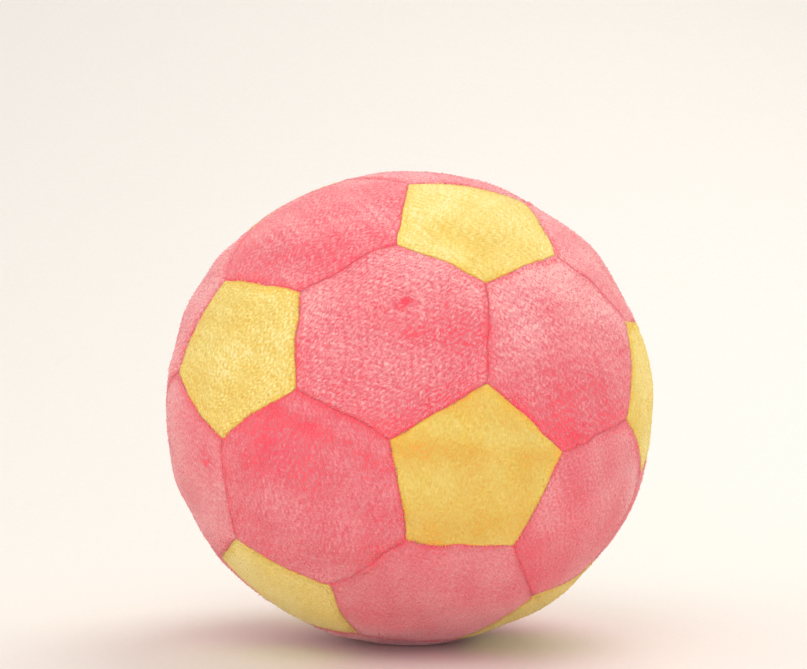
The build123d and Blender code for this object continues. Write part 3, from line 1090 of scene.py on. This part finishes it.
def stuffing():
    """Matted fibre that fills the cover and bulges up between the turned-in edges."""
    sphere = bpy.data.meshes.new("form")
    form = bmesh.new()
    bmesh.ops.create_icosphere(form, subdivisions=6, radius=1.0)
    form.to_mesh(sphere)
    form.free()
    ways = np.zeros(len(sphere.vertices) * 3)
    sphere.vertices.foreach_get("co", ways)
    ways = unit(ways.reshape(-1, 3))
    faces = np.array([tuple(p.vertices) for p in sphere.polygons])
    bpy.data.meshes.remove(sphere)
    inside = np.full(len(ways), -np.inf)
    for panel in panels:
        inside = np.maximum(inside, panel.seam_distances(ways * RADIUS * STUFFING_LEVEL).min(axis=1))
    core = min(panel.allowance_end for panel in panels) - STUFFING_CLEARANCE - CORE_CLEARANCE
    top = backing_radius(ways) - roll_drop(inside) - BACKING - STUFFING_CLEARANCE
    bulge = np.clip((inside - STUFFING_INSET) / BULGE_WIDTH, 0, 1)
    bulge = np.sqrt(1 - (1 - bulge) ** 2)
    radius = core + (top - core) * bulge
    for number, size, depth in STUFFING_LUMPS:
        radius -= depth * (1 + np.tanh(Waves(SEED + number, size)(ways * LUMP_SCALE)))

    # The hollow that the closing stitch's knot lies in
    start = corners[CLOSING_SEAM]
    end = corners[CLOSING_SEAM[::-1]]
    low_start = unit(start) * (np.linalg.norm(start) - STITCH_DEPTH)
    low_end = unit(end) * (np.linalg.norm(end) - STITCH_DEPTH)
    knot = low_end - unit(low_end - low_start) * END_INSET
    knot = knot + unit(np.cross(start, end)) * (THREAD_OFFSET + KNOT_RADIUS - THREAD_RADIUS)
    height = np.linalg.norm(knot)
    beside = np.linalg.norm(ways * height - knot, axis=1)
    hollow = np.clip(1 - (beside / (KNOT_RADIUS + HOLLOW_MARGIN)) ** 2, 0, 1)
    hollowed = np.minimum(radius, height + HOLLOW_RIM - hollow * HOLLOW_DEPTH)
    radius = np.where(hollow > 0, hollowed, radius)

    piece = plain_mesh("fibrefill_core.stuffing", ways * radius[:, None] + CENTRE, faces)
    piece.data.shade_smooth()
    piece.data.materials.append(stuffing_material())
    return piece


filling = stuffing()
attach(filling, "root")
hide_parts("fibrefill_core")

# ---- the threads: the CAD's, in spun thread ----
spun = thread_material("seam_thread", linear(250, 214, 200), linear(214, 150, 140), 900.0)
waxed = thread_material("closing_thread", linear(246, 150, 158), linear(200, 80, 92), 700.0)
for node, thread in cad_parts.items():
    if node.startswith("seam_thread") or node == "closing_stitch":
        material = waxed if node == "closing_stitch" else spun
        thread.data.materials.clear()
        thread.data.materials.append(material)


# ---- floor, light and camera ----
def floor_and_backdrop():
    """A pale sheet that lies flat under the ball and curves up far behind it."""
    near = -12.0
    bend = 0.3
    far = 1.7
    height = 5.0
    side = 12.0
    steps = 12
    section = [(near, 0.0), (0.0, 0.0), (bend, 0.0)]
    for k in range(1, steps + 1):
        angle = math.radians(90 * k / steps)
        section.append((bend + (far - bend) * math.sin(angle), (far - bend) * (1 - math.cos(angle))))
    section.append((far, height))
    points = [(x, y, z) for y, z in section for x in (-side, side)]
    faces = [(2 * k, 2 * k + 1, 2 * k + 3, 2 * k + 2) for k in range(len(section) - 1)]
    mesh = bpy.data.meshes.new("backdrop")
    mesh.from_pydata(points, [], faces)
    mesh.shade_smooth()
    material, tree, shader = new_material("backdrop_paper")
    tones = [(0.3, linear(240, 237, 230)), (0.7, linear(244, 241, 235))]
    tree.links.new(ramp(tree, object_noise(tree, 400.0, 2.0), tones), shader.inputs["Base Color"])
    shader.inputs["Roughness"].default_value = 0.9
    mesh.materials.append(material)
    placed("backdrop", mesh)


BALL_MIDDLE = Vector(CENTRE.tolist()) * MM


def softbox(name, place, size, power, colour):
    """A soft area light aimed at the ball, in metres and watts."""
    light = bpy.data.lights.new(name, "AREA")
    light.shape = "DISK"
    light.size = size
    light.energy = power
    light.color = colour
    holder = placed(name, light)
    holder.location = place
    holder.rotation_euler = (BALL_MIDDLE - Vector(place)).to_track_quat("-Z", "Y").to_euler()


floor_and_backdrop()
softbox("key", (-0.2, -0.95, 1.45), 1.0, 4.0, (1.0, 0.985, 0.85))
softbox("top", (0.5, 0.45, 1.4), 1.1, 8.0, (1.0, 0.98, 0.93))
softbox("left_fill", (-1.6, -0.5, 0.7), 1.1, 3.0, (1.0, 0.96, 1.0))
softbox("low_fill", (0.1, -1.6, 0.15), 1.2, 5.0, (0.97, 0.8, 1.0))

world = bpy.data.worlds.new("studio")
world.use_nodes = True
background = world.node_tree.nodes["Background"]
background.inputs["Color"].default_value = (1.0, 0.975, 0.985, 1.0)
background.inputs["Strength"].default_value = 0.75
bpy.context.scene.world = world
bpy.context.scene.view_settings.view_transform = "Standard"

EYE_DISTANCE = 0.7
EYE_RISE = math.radians(1.5)
AIM_SHIFT = Vector((-0.0022, 0, 0.0295))  # the ball is low and a little right in the photograph's frame
eye = bpy.data.cameras.new("eye")
eye.lens = 76.0
eye.sensor_width = 36.0
eye.clip_end = 30.0
camera = placed("eye", eye)
camera.location = BALL_MIDDLE + Vector((0, -math.cos(EYE_RISE), math.sin(EYE_RISE))) * EYE_DISTANCE
aim = BALL_MIDDLE + AIM_SHIFT - camera.location
camera.rotation_euler = aim.to_track_quat("-Z", "Y").to_euler()
bpy.context.scene.camera = camera
